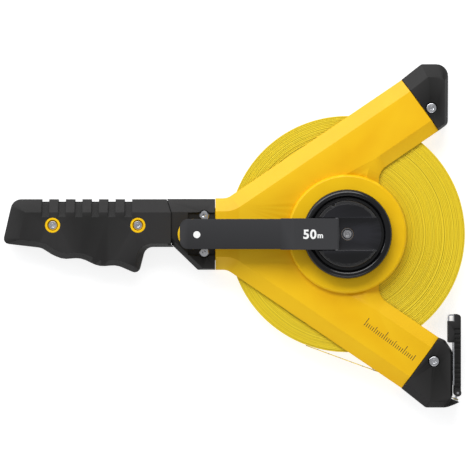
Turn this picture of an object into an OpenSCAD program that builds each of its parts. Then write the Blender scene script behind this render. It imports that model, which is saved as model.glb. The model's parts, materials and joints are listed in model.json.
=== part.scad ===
// Open-frame surveyor's tape reel, lying on its back.
// Origin: where the hub axis meets the rest plane. +Z along the hub axis, towards the crank.
// -X towards the handle, +X towards the two arm ends. All sizes in millimetres.

/* [Tape and drum] */
// Outer radius of the wound tape
coil_r = 99.4; // [97:0.1:99.5]
// Radius of the drum that the tape is wound on
core_r = 36; // [34:0.5:40]
// Width of the tape
tape_w = 13; // [12:0.5:13]
// Thickness of the tape
tape_t = 0.5; // [0.4:0.05:0.5]
// How far the tape end can be drawn out of the mouth
tape_pull = 60; // [20:5:60]

/* [Frame] */
// Thickness of the whole frame, front flat to back flat
frame_t = 27; // [27:0.1:27.4]
// Height of the bevel along the frame's edges
bevel_h = 5; // [4:0.1:5.2]
// Wall thickness of the moulded shells
wall = 2.4; // [2:0.1:2.6]
// Width of the neck of the frame
neck_w = 60.2; // [58:0.2:61]
// Width of the bevel on the outer edge of the arms
bevel_out = 12; // [9:0.5:13]
// Width of the bevel on the inner edge of the arms
bevel_in = 10.5; // [8:0.5:11]

/* [Hub and gear cover] */
// Radius of the raised gear cover
cover_r = 50; // [49:0.5:51]
// Radius of the crank hub
hub_r = 37.4; // [36:0.2:38]
// Radius of the raised centre of the crank hub
turret_r = 28.4; // [27:0.2:29]
// Radius of the axle
axle_r = 4; // [3.5:0.5:4]

/* [Crank] */
// Distance from the hub axis to the knob with the crank folded away
knob_x = 129.4; // [126:0.2:129.4]
// Radius of the knob
knob_r = 13; // [11:0.5:13]
// Width of the crank arm at the hub
arm_w = 26.2; // [24:0.2:26.4]
// Width of the crank arm at the knob
arm_tip_w = 25.2; // [23:0.2:25.6]

/* [Handle] */
// Thickness of the handle
handle_t = 30; // [29.6:0.1:30]
// Number of anti-slip grooves on the back of the handle
groove_count = 6; // [4:1:6]
// Spacing of the grooves
groove_pitch = 13.94; // [12:0.1:14]
// Width of each groove
groove_w = 6.3; // [5:0.1:7]
// Depth of each groove
groove_d = 2; // [1:0.2:2.4]
// Length of one finger hollow
finger_pitch = 31; // [29:0.5:31]
// Depth of the finger hollows
finger_d = 3; // [1:0.2:3]

/* [Gears] */
// Size of the gear teeth
gear_module = 1.6; // [1.5:0.05:1.6]
// Teeth on the sun gear
sun_teeth = 24; // [24:12:24]
// Teeth on each planet gear
planet_teeth = 12; // [12:12:12]
// Play between the gear teeth
backlash = 0.3; // [0.2:0.05:0.4]

/* [Hidden] */
$fn = 72;
eps = 0.01;

// Levels along the hub axis
mid_z = handle_t / 2;
flat_z = mid_z + frame_t / 2;
lip_z = flat_z - bevel_h;
coil_room = 7.5;
plate_z = mid_z + coil_room;
coil_z = mid_z - tape_w / 2;
gear_z = plate_z + 1.5;
gear_h = 4.4;
seat_gap = 0.1;
carrier_z = gear_z + gear_h + seat_gap;
cover_h = 4.5;
hub_gap = 0.8;
hub_z = flat_z + cover_h + hub_gap;
hub_h = 12.8;
channel_z = hub_z + hub_h;
arm_t = 6;
arm_gap = 0.4;
arm_z = channel_z + arm_gap;
pin_z = arm_z + arm_t / 2;
arm_drop = 3.5;
tip_z = arm_z - arm_drop;
tip_t = 5;

// Fits and gaps
run_gap = 0.05;
part_gap = 0.3;

// Levels below and above the whole reel, for cuts that go right through
below = -1;
above = 90;

// Colours
yellow = [0.93, 0.70, 0.08];
tape_yellow = [0.90, 0.80, 0.16];
black = [0.14, 0.14, 0.14];
steel = [0.75, 0.75, 0.77];
brass = [0.78, 0.60, 0.25];
nylon = [0.88, 0.86, 0.80];

// ---- Outline helpers: an outline is a list of [x, y, corner radius, bevel width of the next edge]

function unit(v) = v / norm(v);
function left_of(v) = [-v[1], v[0]];
function turned(v, a) = [v[0] * cos(a) - v[1] * sin(a), v[0] * sin(a) + v[1] * cos(a)];
function xy(p) = [p[0], p[1]];
function at(list, i) = list[(i + len(list)) % len(list)];

// The corner at b after both its edges move inwards
function moved_corner(a, b, c, d_in, d_out) =
    let (u = unit(b - a), w = unit(c - b), k = cross(u, w))
    let (p = b + left_of(u) * d_in, q = b + left_of(w) * d_out)
    abs(k) < 0.001 ? p : p + u * (cross(q - p, w) / k);

// Points of the rounded corner at b
function corner_points(a, b, c, r, steps) =
    let (u = unit(b - a), w = unit(c - b), turn = atan2(cross(u, w), u * w))
    let (start = b - u * r * tan(abs(turn) / 2))
    let (centre = start + left_of(u) * sign(turn) * r)
    steps == 0 ? [b] : [for (i = [0:steps]) centre + turned(start - centre, turn * i / steps)];

function corner_steps(r) = r < 1 ? 0 : r < 5 ? 4 : 6;

// The outline moved inwards: by a margin everywhere and by a share of each edge's bevel
function ring_points(outline, margin, share) =
    let (n = len(outline))
    let (inset = [for (p = outline) margin + p[3] * share])
    let (moved = [for (i = [0:n - 1])
        moved_corner(xy(at(outline, i - 1)), xy(outline[i]), xy(at(outline, i + 1)),
            at(inset, i - 1), inset[i])])
    [for (i = [0:n - 1])
        let (a = at(moved, i - 1), b = moved[i], c = at(moved, i + 1))
        let (convex = cross(b - a, c - b) > 0, depth = (at(inset, i - 1) + inset[i]) / 2)
        let (r = max(0.4, outline[i][2] + (convex ? -depth : depth)))
        each corner_points(a, b, c, r, corner_steps(outline[i][2]))];

function in_triangle(p, a, b, c) =
    cross(b - a, p - a) >= 0 && cross(c - b, p - b) >= 0 && cross(a - c, p - c) >= 0;

// Whether the corner at place i can be cut off without touching the rest of the outline
function is_ear(points, ids, i) =
    let (n = len(ids), before = (i + n - 1) % n, after = (i + 1) % n)
    let (a = points[ids[before]], b = points[ids[i]], c = points[ids[after]])
    cross(b - a, c - b) > 0 && len([for (j = [0:n - 1])
        if (j != i && j != before && j != after && in_triangle(points[ids[j]], a, b, c)) j]) == 0;

function first_ear(points, ids, i = 0) =
    i >= len(ids) ? 0 : is_ear(points, ids, i) ? i : first_ear(points, ids, i + 1);

// Cuts an outline into triangles, one corner at a time
function in_triangles(points, ids) =
    len(ids) == 3 ? [ids] :
    let (n = len(ids), i = first_ear(points, ids))
    concat([[ids[(i + n - 1) % n], ids[i], ids[(i + 1) % n]]],
        in_triangles(points, [for (j = [0:n - 1]) if (j != i) ids[j]]));

// A solid skinned over rings; levels is a list of [z, margin, share of the bevel]
module skinned(outline, levels) {
    rings = [for (l = levels) ring_points(outline, l[1], l[2])];
    n = len(rings[0]);
    top = (len(levels) - 1) * n;
    points = [for (k = [0:len(levels) - 1]) for (p = rings[k]) [p[0], p[1], levels[k][0]]];
    sides = [for (k = [0:len(levels) - 2]) for (i = [0:n - 1])
        [k * n + i, (k + 1) * n + i, (k + 1) * n + (i + 1) % n, k * n + (i + 1) % n]];
    bottom = in_triangles(rings[0], [for (i = [0:n - 1]) i]);
    lid = [for (t = in_triangles(rings[len(levels) - 1], [for (i = [0:n - 1]) i]))
        [top + t[2], top + t[1], top + t[0]]];
    polyhedron(points, concat(bottom, sides, lid));
}

// A hollow front shell from the level from_z up to top_z, open at the back. Its rings run from
// the middle of the ceiling down the inside, across the rim and up the outside.
module bevelled_shell(outline, from_z, side_z, top_z) {
    skinned(outline, [
        [top_z - wall - 0.6, wall, 1],
        [side_z - 1, wall, 0],
        [from_z, wall, 0],
        [from_z, 0, 0],
        [side_z, 0, 0],
        [top_z, 0, 1]
    ]);
}

// The same shape turned over to the back of the reel
module at_back() {
    translate([0, 0, 2 * mid_z])
        mirror([0, 0, 1])
            children();
}

module pillar(p, r, z0, z1) {
    translate([p[0], p[1], z0])
        cylinder(r = r, h = z1 - z0);
}

module tube(p, r_in, r_out, z0, z1) {
    difference() {
        pillar(p, r_out, z0, z1);
        pillar(p, r_in, z0 - 1, z1 + 1);
    }
}

module block(x0, x1, y0, y1, z0, z1) {
    translate([x0, y0, z0])
        cube([x1 - x0, y1 - y0, z1 - z0]);
}

// ---- Frame geometry

neck_end = -110.5;
neck_half = neck_w / 2;
shoulder_x = -100.65;
arm_out = [45.9, 129.5];
arm_in = [77.1, 86.9];
notch = [26.9, 52.9];
notch_r = 15;
neck_bevel = 11;

frame_outline = [
    [neck_end, -neck_half, 0, neck_bevel],
    [shoulder_x, -neck_half, 12, bevel_out],
    [arm_out[0], -arm_out[1], 0, 0],
    [arm_in[0], -arm_in[1], 0, bevel_in],
    [notch[0], -notch[1], notch_r, bevel_in],
    [notch[0], notch[1], notch_r, bevel_in],
    [arm_in[0], arm_in[1], 0, 0],
    [arm_out[0], arm_out[1], 0, bevel_out],
    [shoulder_x, neck_half, 12, neck_bevel],
    [neck_end, neck_half, 0, 0]
];

upper_screw = [71, 105.9];
lower_screw = [73.2, -107];
neck_screw_x = -120;
neck_screw_y = 15.5;
neck_head_r = 4.1;
boss_r = 5;
screw_r = 2;
head_r = 4.6;
head_h = 1.5;

// Tongues of the frame that reach into the caps and the neck cover
tab_t = 2.6;
tab_z = plate_z + seat_gap;
tab_w = 34;
tab_back = 3;
tab_l = 15;
tab_low_y = -126;
neck_tab_l = 14;
neck_tab_half = 13;
cap_angle = 36.2;

// Runs its children in the frame of an arm's end: X out of the arm, Y across it
module at_arm_end(side) {
    translate([(arm_out[0] + arm_in[0]) / 2, side * (arm_out[1] + arm_in[1]) / 2, 0])
        rotate([0, 0, side * cap_angle])
            children();
}

// Tongue under a cap: a strip across the arm's end, with a hole for the cap's boss
module cap_tab(side, screw) {
    difference() {
        at_arm_end(side)
            block(-tab_back, tab_l - tab_back, -tab_w / 2, tab_w / 2, tab_z, tab_z + tab_t);
        pillar(screw, boss_r + 0.4, below, above);
    }
}

// Front or rear plate without its middle
module frame_plate() {
    bevelled_shell(frame_outline, plate_z, lip_z, flat_z);
    cap_tab(1, upper_screw);
    difference() {
        cap_tab(-1, lower_screw);
        block(0, 2 * coil_r, -2 * coil_r, tab_low_y, below, above);
    }
    block(neck_end - neck_tab_l, neck_end + 4, -neck_tab_half, neck_tab_half, tab_z, tab_z + tab_t);
}

gear_seat_r = 45.9;
gear_lip_r = 41.5;
hub_boss_r = cover_r - 1.5;

module front_frame() {
    color(yellow)
    difference() {
        union() {
            frame_plate();
            pillar([0, 0], hub_boss_r, plate_z, flat_z);
        }
        pillar([0, 0], gear_lip_r, below, above);
        pillar([0, 0], gear_seat_r, gear_z - seat_gap, above);
    }
}

flange_r = 8;
flange_h = 2;
back_flat_z = handle_t - flat_z;
bearing_boss_r = 11;
boss_wall = 3;

module rear_frame() {
    color(yellow)
    difference() {
        union() {
            at_back()
                frame_plate();
            difference() {
                pillar([0, 0], hub_boss_r, back_flat_z, handle_t - plate_z);
                tube([0, 0], bearing_boss_r, hub_boss_r - boss_wall, back_flat_z + wall, above);
            }
        }
        pillar([0, 0], axle_r, below, above);
        pillar([0, 0], flange_r, below, back_flat_z + flange_h);
    }
}

cover_hole_r = 18.3;
cover_seat_r = 44;
cover_room = 2.3;
cover_bevel = 1.6;
rear_bevel = 1;

module gear_cover() {
    color(yellow)
    rotate_extrude()
        polygon([
            [cover_hole_r, flat_z + cover_room], [cover_seat_r, flat_z + cover_room],
            [cover_seat_r, flat_z], [cover_r, flat_z], [cover_r, flat_z + cover_h - cover_bevel],
            [cover_r - cover_bevel, flat_z + cover_h], [cover_hole_r, flat_z + cover_h]
        ]);
}

module rear_bearing_cover() {
    color(yellow)
    rotate_extrude()
        polygon([
            [0, 0], [cover_r - rear_bevel, 0], [cover_r, rear_bevel], [cover_r, back_flat_z],
            [0, back_flat_z]
        ]);
}

// ---- Gears

function involute(a) = tan(a) * 180 / PI - a;
pressure = 20;

// Points of one tooth, from root to tip and back; grow widens the tooth
function tooth(teeth, root, tip, grow, centre) =
    let (rp = gear_module * teeth / 2, rb = rp * cos(pressure), flank = 4)
    let (half = 90 / teeth + (grow / 2) / rp * 180 / PI + involute(pressure))
    let (radii = [for (i = [0:flank]) max(rb, root) + (tip - max(rb, root)) * i / flank])
    let (up = [for (r = radii) [r, half - involute(acos(min(1, rb / r)))]])
    let (rise = root < rb ? concat([[root, half]], up) : up)
    [for (p = concat([for (i = [0:len(rise) - 1]) [rise[i][0], -rise[i][1]]],
            [for (i = [len(rise) - 1:-1:0]) rise[i]]))
        [p[0] * cos(centre + p[1]), p[0] * sin(centre + p[1])]];

module gear_shape(teeth, root, tip, grow, first) {
    polygon([for (i = [0:teeth - 1]) each tooth(teeth, root, tip, grow, first + i * 360 / teeth)]);
}

ring_teeth = sun_teeth + 2 * planet_teeth;
addendum = 0.7 * gear_module;
ring_addendum = 0.55 * gear_module;
dedendum = gear_module;
planet_orbit = gear_module * (sun_teeth + planet_teeth) / 2;
planet_count = 3;
planet_pin_r = 2.4;

module ring_gear() {
    pitch_r = gear_module * ring_teeth / 2;
    color(nylon)
    translate([0, 0, gear_z])
        linear_extrude(gear_h)
            difference() {
                circle(r = gear_seat_r - seat_gap);
                gear_shape(ring_teeth, pitch_r - ring_addendum, pitch_r + dedendum, backlash / 2, 0);
            }
}

module sun_gear() {
    pitch_r = gear_module * sun_teeth / 2;
    color(nylon)
    difference() {
        union() {
            translate([0, 0, gear_z])
                linear_extrude(gear_h - 0.2)
                    gear_shape(sun_teeth, pitch_r - dedendum, pitch_r + addendum,
                        -backlash / 2, 180 / sun_teeth);
            pillar([0, 0], pitch_r - dedendum, drum_top, gear_z + 1);
        }
        pillar([0, 0], sun_bore_r, below, above);
    }
}

module planet_gear(i) {
    pitch_r = gear_module * planet_teeth / 2;
    color(nylon)
    rotate([0, 0, i * 360 / planet_count])
        translate([planet_orbit, 0, gear_z + 0.2])
            difference() {
                linear_extrude(gear_h - 0.5)
                    gear_shape(planet_teeth, pitch_r - dedendum, pitch_r + addendum, -backlash / 2, 0);
                pillar([0, 0], planet_pin_r + run_gap, below, above);
            }
}

module planet_gear_1() { planet_gear(0); }
module planet_gear_2() { planet_gear(1); }
module planet_gear_3() { planet_gear(2); }

// ---- Reel

drum_bottom = coil_z - 0.3;
drum_top = coil_z + tape_w + 0.3;
drum_hub_r = 13;
drum_wall = 5;
web_half = 1.5;
spoke_count = 6;
spoke_half = 1.2;
bush_r = 6;
bush_h = 4;
sun_bore_r = 9;
sun_top = gear_z + gear_h - 0.6;
clip_y = 6;
clip_depth = 3;
clip_t = 2;

module reel_drum() {
    color(black)
    difference() {
        union() {
            tube([0, 0], core_r - drum_wall, core_r, coil_z, coil_z + tape_w);
            pillar([0, 0], drum_hub_r, drum_bottom, drum_top);
            pillar([0, 0], core_r - drum_wall + 1, mid_z - web_half, mid_z + web_half);
            pillar([0, 0], sun_bore_r, mid_z, sun_top);
            for (i = [0:spoke_count - 1])
                rotate([0, 0, i * 360 / spoke_count])
                    block(drum_hub_r - 1, core_r - drum_wall + 1, -spoke_half, spoke_half,
                        coil_z + 0.5, coil_z + tape_w - 0.5);
        }
        pillar([0, 0], axle_r + 0.5, below, above);
        pillar([0, 0], bush_r, below, drum_bottom + bush_h);
        pillar([0, 0], bush_r, sun_top - bush_h, above);
        block(core_r - clip_depth, core_r + 1, -clip_y, clip_y, coil_z - 1, coil_z + tape_w + 1);
    }
}

module reel_bushings() {
    color(brass)
    for (z0 = [drum_bottom, sun_top - bush_h])
        tube([0, 0], axle_r + run_gap, bush_r, z0, z0 + bush_h);
}

// Clip that holds the inner end of the tape in the drum
module tape_clip() {
    color(steel)
    difference() {
        block(core_r - clip_depth, core_r - clip_depth + clip_t, -clip_y, clip_y, coil_z, coil_z + tape_w);
        block(core_r - clip_depth + 0.8, core_r, -clip_y + 1.5, clip_y - 1.5, coil_z + 2, coil_z + tape_w - 2);
    }
}

module tape_coil() {
    color(tape_yellow)
    tube([0, 0], core_r, coil_r, coil_z, coil_z + tape_w);
}

// ---- Axle

module axle() {
    color(steel)
    difference() {
        union() {
            pillar([0, 0], axle_r, back_flat_z, axle_top);
            pillar([0, 0], flange_r, back_flat_z, back_flat_z + flange_h);
        }
        pillar([0, 0], screw_r, axle_top - axle_screw_l, above);
    }
}

axle_top = channel_z - 5.4;
axle_screw_l = 9;
axle_head_r = 4.4;
washer_h = 1;
washer_r = 4.9;
well_r = 5.3;

module axle_washer() {
    color(steel)
    tube([0, 0], screw_r, washer_r, axle_top, axle_top + washer_h);
}

// A screw with a domed head and a six-sided socket, standing on the level z
module round_screw(p, r, z, length) {
    difference() {
        union() {
            pillar(p, screw_r, z - length, z + eps);
            translate([p[0], p[1], z])
                rotate_extrude()
                    polygon([[0, 0], [r, 0], [r, head_h * 0.5], [r - 0.8, head_h], [0, head_h]]);
        }
        translate([p[0], p[1], z + 0.5])
            cylinder(r = socket_share * r, h = head_h, $fn = 6);
    }
}

socket_share = 0.42;
nut_r = 3.9;

module six_sided_nut(p, z, h) {
    difference() {
        translate([p[0], p[1], z])
            cylinder(r = nut_r, h = h, $fn = 6);
        pillar(p, screw_r, below, above);
    }
}

module axle_screw() {
    color(steel)
    round_screw([0, 0], axle_head_r, axle_top + washer_h, axle_screw_l);
}

// ---- Crank hub

carrier_r = 34;
carrier_t = 1.9;
hub_screw_count = 3;
hub_screw_orbit = 12.5;
hub_screw_r = 1.4;
hub_screw_head_r = 2.7;
hub_screw_head_z = carrier_z + 1.8;
hub_screw_depth = 6;

// Runs its children once at the place of each hub screw
module at_hub_screws() {
    for (i = [0:hub_screw_count - 1])
        rotate([0, 0, (i + 0.5) * 360 / hub_screw_count])
            translate([hub_screw_orbit, 0, 0])
                children();
}

module planet_carrier() {
    color(steel)
    difference() {
        union() {
            pillar([0, 0], carrier_r, carrier_z, carrier_z + carrier_t);
            pillar([0, 0], cover_hole_r - 0.5, carrier_z, hub_z);
            for (i = [0:planet_count - 1])
                rotate([0, 0, i * 360 / planet_count])
                    pillar([planet_orbit, 0], planet_pin_r, gear_z + 0.2, carrier_z + 1);
        }
        pillar([0, 0], bush_r, below, above);
        at_hub_screws() {
            pillar([0, 0], hub_screw_r, below, above);
            pillar([0, 0], hub_screw_head_r + seat_gap, below, hub_screw_head_z);
        }
    }
}

module hub_screws() {
    color(steel)
    at_hub_screws() {
        pillar([0, 0], hub_screw_head_r, carrier_z + seat_gap, hub_screw_head_z);
        pillar([0, 0], hub_screw_r, hub_screw_head_z - seat_gap, hub_z + hub_screw_depth);
    }
}

module crank_bushing() {
    color(brass)
    tube([0, 0], axle_r + run_gap, bush_r, carrier_z, axle_top - part_gap);
}

rim_mid = 34;
rim_half = 3.4;
rim_z = channel_z - 0.4;
groove_z = channel_z - 4.2;
turret_z = channel_z + 5.4;
turret_bevel = 3.4;
fold_x = -9.2;
fold_pin_r = 1.5;
fold_pin_half = 19;
channel_half = arm_w / 2 + 0.5;
hub_core_r = 18.5;
hub_wall = 2.2;
hub_pocket_h = 7;
witness_angle = 116;
witness_half = 1.2;

module crank_hub() {
    color(black)
    difference() {
        rotate_extrude()
            polygon(concat(
                [[0, hub_z], [hub_r, hub_z]],
                [for (a = [0:15:180]) [rim_mid + rim_half * cos(a), rim_z - rim_half + rim_half * sin(a)]],
                [[rim_mid - rim_half, groove_z], [turret_r, groove_z], [turret_r, turret_z - turret_bevel],
                [turret_r - turret_bevel, turret_z], [0, turret_z]]
            ));
        tube([0, 0], hub_core_r, hub_r - hub_wall, below, hub_z + hub_pocket_h);
        block(-turret_r - 1, turret_r + 1, -channel_half, channel_half, channel_z, above);
        pillar([0, 0], bush_r, below, axle_top - seat_gap);
        pillar([0, 0], well_r, below, above);
        at_hub_screws()
            pillar([0, 0], hub_screw_r, below, hub_z + hub_screw_depth);
        along_fold_pin(fold_pin_r, fold_pin_half);
        // Witness notch on the rim of the turret
        rotate([0, 0, witness_angle])
            block(turret_r - 2, turret_r + 2, -witness_half, witness_half,
                turret_z - turret_bevel - 0.6, above);
    }
}

// A cylinder along the axis that the arm folds about
module along_fold_pin(r, half) {
    translate([fold_x, -half, pin_z])
        rotate([-90, 0, 0])
            cylinder(r = r, h = 2 * half);
}

module fold_pin() {
    color(steel)
    along_fold_pin(fold_pin_r, fold_pin_half);
}

// ---- Crank arm and knob

arm_end_x = -140.3;
arm_corner_r = 7;
step_out = -56;
step_in = -45;
tongue_half = 5.7;
stud_r = 3;
stud_top = tip_z + tip_t - 1.2;

module crank_arm() {
    color(black)
    difference() {
        translate([0, arm_w / 2, 0])
            rotate([90, 0, 0])
                linear_extrude(arm_w)
                    union() {
                        polygon([
                            [arm_end_x, tip_z], [step_out + 1, tip_z], [step_in + 1, arm_z], [fold_x, arm_z],
                            [fold_x, arm_z + arm_t], [step_in, arm_z + arm_t], [step_out, tip_z + tip_t],
                            [arm_end_x, tip_z + tip_t]
                        ]);
                        translate([fold_x, pin_z])
                            circle(r = arm_t / 2);
                    }
        // Side cut-backs beside the tongue
        for (side = [-1, 1])
            block(fold_x + 2, 0, side > 0 ? tongue_half : -arm_w, side > 0 ? arm_w : -tongue_half,
                below, above);
        translate([0, 0, below])
            linear_extrude(above)
                arm_trim();
        along_fold_pin(fold_pin_r + run_gap, arm_w);
        pillar([-knob_x, 0], stud_r, below, stud_top);
    }
}

// What is cut away round the arm's plan: narrower, with rounded corners at the knob
module arm_trim() {
    inner_x = arm_end_x + arm_corner_r;
    half = arm_tip_w / 2;
    difference() {
        translate([arm_end_x - 1, -arm_w])
            square([step_out - arm_end_x + 1, 2 * arm_w]);
        translate([inner_x, -half])
            square([step_out - inner_x + 1, 2 * half]);
        translate([arm_end_x, arm_corner_r - half])
            square([arm_corner_r + 1, 2 * (half - arm_corner_r)]);
        for (side = [-1, 1])
            translate([inner_x, side * (half - arm_corner_r)])
                circle(r = arm_corner_r);
    }
}

knob_z0 = flat_z + 0.5;
knob_z1 = tip_z - part_gap;
knob_well_r = 5.6;
knob_well_h = 2.4;
knob_well_z = knob_z0 + knob_well_h;
knob_head_r = 5.2;
knob_screw_r = 1.6;
knob_screw_z = knob_well_z + 6;
knob_edge = 1.6;
knob_waist = 0.9;

module knob_stud() {
    color(steel)
    difference() {
        pillar([-knob_x, 0], stud_r, knob_well_z - seat_gap, stud_top);
        pillar([-knob_x, 0], knob_screw_r, below, knob_screw_z);
    }
}

module knob_screw() {
    color(steel)
    union() {
        pillar([-knob_x, 0], knob_head_r, knob_z0 + 0.4, knob_well_z - seat_gap);
        pillar([-knob_x, 0], knob_screw_r, knob_z0 + 1, knob_screw_z);
    }
}

module crank_knob() {
    h = knob_z1 - knob_z0;
    color(yellow)
    translate([-knob_x, 0, 0])
        rotate_extrude()
            polygon(concat(
                [[knob_well_r, knob_z0], [knob_r - knob_edge, knob_z0]],
                [for (i = [0:8]) [knob_r - (i % 8 == 0 ? 0.5 : 0) - knob_waist * sin(180 * i / 8),
                    knob_z0 + 1 + (h - 2) * i / 8]],
                [[knob_r - knob_edge, knob_z1], [stud_r + run_gap, knob_z1],
                [stud_r + run_gap, knob_well_z], [knob_well_r, knob_well_z]]
            ));
}

// ---- Neck covers and handle

// The joint between neck cover and grip: straight on the flat, leaning back over the top bevel
cover_x = -147.4;
joint_gap = 0.6;
joint_lean = 4.2;
joint_kink_y = 18;
joint_low_y = -8.8;
joint_top_y = 31;
joint_slope = 0.959;
joint_web = 2.4;
web_top_y = 17;
cover_reach = 4;

neck_outline = [
    [cover_x - cover_reach, joint_low_y + cover_reach * joint_slope, 1, 4],
    [-125.4, -neck_half, 2, 1],
    [neck_end - 0.4, -neck_half, 0, 0],
    [neck_end - 0.4, neck_half - 0.6, 0, neck_bevel],
    [cover_x - cover_reach, neck_half - 0.6, 1, 1]
];
recess_x = -133.6;
recess_half = 17.7;
recess_d = 1.5;

// Moulded tang inside the handle: its thickness and the block at its neck end
core_t = 6;
tang_x0 = -128;
tang_x1 = -104;
tang_half = 22;
core_y0 = -5;
core_y1 = 16;

module neck_cover() {
    difference() {
        union() {
            bevelled_shell(neck_outline, mid_z, lip_z, flat_z);
            block(cover_x, cover_x + joint_web, joint_low_y + 2, web_top_y, mid_z, flat_z - 1.5);
        }
        // End face: straight on the flat, leaning back over the top bevel
        translate([0, 0, below])
            linear_extrude(above)
                polygon([
                    [cover_x, -neck_half], [cover_x, joint_kink_y], [cover_x - joint_lean, joint_top_y],
                    [cover_x - 3 * joint_lean, joint_top_y], [cover_x - 3 * joint_lean, -neck_half]
                ]);
        block(recess_x, 0, -recess_half, recess_half, flat_z - recess_d, above);
        for (side = [-1, 1]) {
            pillar([neck_screw_x, side * neck_screw_y], screw_r, below, above);
            pillar([neck_screw_x, side * neck_screw_y], head_r, flat_z - recess_d, above);
        }
        // Way in for the frame's tongue and the handle core
        block(neck_end - 4, 0, -tang_half - part_gap, tang_half + part_gap, below, plate_z + 0.2);
        block(neck_end - 4, 0, -neck_tab_half - part_gap, neck_tab_half + part_gap,
            below, tab_z + tab_t + part_gap);
        block(cover_x - 12, cover_x + 7, core_y0, core_y1, below, mid_z + core_t / 2 + seat_gap);
    }
}

module neck_cover_front() {
    color(black)
    neck_cover();
}

module neck_cover_rear() {
    color(black)
    at_back()
        neck_cover();
}

handle_screws_x = [-247.3, -175.7];
handle_screw_y = 7.4;
handle_head_r = 4.2;
sleeve_r = 6.4;
sleeve_bore = 4.5;
sleeve_well = 3;
pocket_r = 5;
pocket_pitch = 14;
core_outline = [
    [-272, -2, 5, 0],
    [-180, -6, 3, 0],
    [-150, -4.5, 3, 0],
    [tang_x1, -4.5, 0, 0],
    [tang_x1, 15.5, 0, 0],
    [-272, 17, 5, 0]
];

// Yellow tang through the whole handle, with the two sleeves that show round the screws
module handle_core() {
    color(yellow)
    difference() {
        union() {
            skinned(core_outline, [[mid_z - core_t / 2, 0, 0], [mid_z + core_t / 2, 0, 0]]);
            block(tang_x0, tang_x1, -tang_half, tang_half, handle_t - plate_z, plate_z);
            for (x = handle_screws_x)
                pillar([x, handle_screw_y], sleeve_r, 0.2, handle_t - 0.2);
        }
        for (x = handle_screws_x) {
            pillar([x, handle_screw_y], screw_r, below, above);
            pillar([x, handle_screw_y], sleeve_bore, handle_t - sleeve_well, above);
            pillar([x, handle_screw_y], sleeve_bore, below, sleeve_well);
        }
        for (side = [-1, 1])
            pillar([neck_screw_x, side * neck_screw_y], screw_r, below, above);
        // Lightening pockets between the two screws
        for (x = [handle_screws_x[0] + pocket_pitch:pocket_pitch:handle_screws_x[1] - pocket_pitch])
            pillar([x, handle_screw_y], pocket_r, below, above);
    }
}

grip_back_y = 29.3;
grip_side_z = mid_z + 8.5;
grip_bevel = 11;
finger_start = -239.5;

// Lower edge of the grip: a falling line with rounded finger hollows
function finger_y(x) = -20.6 - 0.197 * (x - finger_start)
    + finger_d / 2 * (1 - cos(360 * (x - finger_start) / finger_pitch));

grip_outline = concat(
    [[-289.6, -7.8, 4.5, 5], [-257, -11.6, 12, 5]],
    [for (i = [0:15]) let (x = finger_start - 9 + i * 4.1) [x, finger_y(x), 0, 5]],
    [
        [-175.4, -34, 4.5, 5],
        [-169.4, -10.9, 8, 3],
        [cover_x + cover_reach, -10.9, 0, 1],
        [cover_x + cover_reach, grip_back_y, 0, grip_bevel],
        [-281, grip_back_y, 9, 13]
    ]
);
grip_end = cover_x - joint_gap;
groove_x = -256.6;
post_r = 3;

// One anti-slip groove: over the back of the handle and down its bevel
module groove_cut() {
    slope = (handle_t - grip_side_z) / grip_bevel;
    drop = groove_d * sqrt(1 + slope * slope);
    floor_y = grip_back_y - groove_d;
    floor_z = grip_side_z + groove_d * slope - drop;
    end_y = floor_y - (handle_t - floor_z) / slope;
    rotate([90, 0, 90])
        linear_extrude(groove_w)
            polygon([
                [floor_y, -1], [floor_y, floor_z], [end_y, handle_t], [end_y, handle_t + 5],
                [grip_back_y + 5, handle_t + 5], [grip_back_y + 5, -1]
            ]);
}

module grip() {
    difference() {
        union() {
            bevelled_shell(grip_outline, mid_z, grip_side_z, handle_t);
            block(grip_end - joint_web, grip_end, -9.5, web_top_y, mid_z, handle_t - 1.5);
        }
        for (x = handle_screws_x)
            pillar([x, handle_screw_y], sleeve_r, below, above);
        block(-200, cover_x, core_y0, core_y1, below, mid_z + core_t / 2 + 0.2);
        // End face that follows the neck cover
        translate([0, 0, below])
            linear_extrude(above)
                polygon([
                    [grip_end - joint_lean, joint_top_y], [grip_end, joint_kink_y],
                    [grip_end, joint_low_y], [grip_end + 8 / joint_slope, joint_low_y - 8],
                    [tang_x1, joint_low_y - 8], [tang_x1, joint_top_y]
                ]);
        for (i = [0:groove_count - 1])
            translate([groove_x + i * groove_pitch, 0, 0])
                groove_cut();
    }
    // Inner posts that meet the core
    for (x = [-265, -212])
        pillar([x, 1], post_r, mid_z + core_t / 2, handle_t - wall - 0.4);
}

module grip_front() {
    color(black)
    grip();
}

module grip_rear() {
    color(black)
    at_back()
        grip();
}

module handle_screws() {
    color(steel)
    for (x = handle_screws_x)
        round_screw([x, handle_screw_y], handle_head_r, handle_t - sleeve_well, handle_t - 4.5);
}

module handle_nuts() {
    color(steel)
    for (x = handle_screws_x)
        six_sided_nut([x, handle_screw_y], 0.6, sleeve_well - 0.6);
}

module neck_screws() {
    color(steel)
    for (side = [-1, 1])
        round_screw([neck_screw_x, side * neck_screw_y], neck_head_r, flat_z - recess_d,
            frame_t - 2 * recess_d + 0.5);
}

module neck_nuts() {
    color(steel)
    for (side = [-1, 1])
        six_sided_nut([neck_screw_x, side * neck_screw_y], back_flat_z + 0.1, recess_d - 0.1);
}

// ---- Arm end caps

upper_cap_outline = [
    [77.7, 87.3, 0, 2],
    [84.9, 92.6, 5, 3],
    [85.2, 142.9, 10, 11],
    [62.6, 142.9, 4, 12],
    [46.3, 130.1, 0, 0]
];

mouth = [89, -138.2];
tape_angle = -20;

lower_cap_outline = [
    [46.3, -130.1, 0, 6],
    [66.2, -145.9, 4, 5],
    [88.9, -145.9, 7, 2],
    [88.9, -98.8, 7, 2],
    [82.6, -89.2, 4, 2],
    [77.7, -87.3, 0, 0]
];

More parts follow.
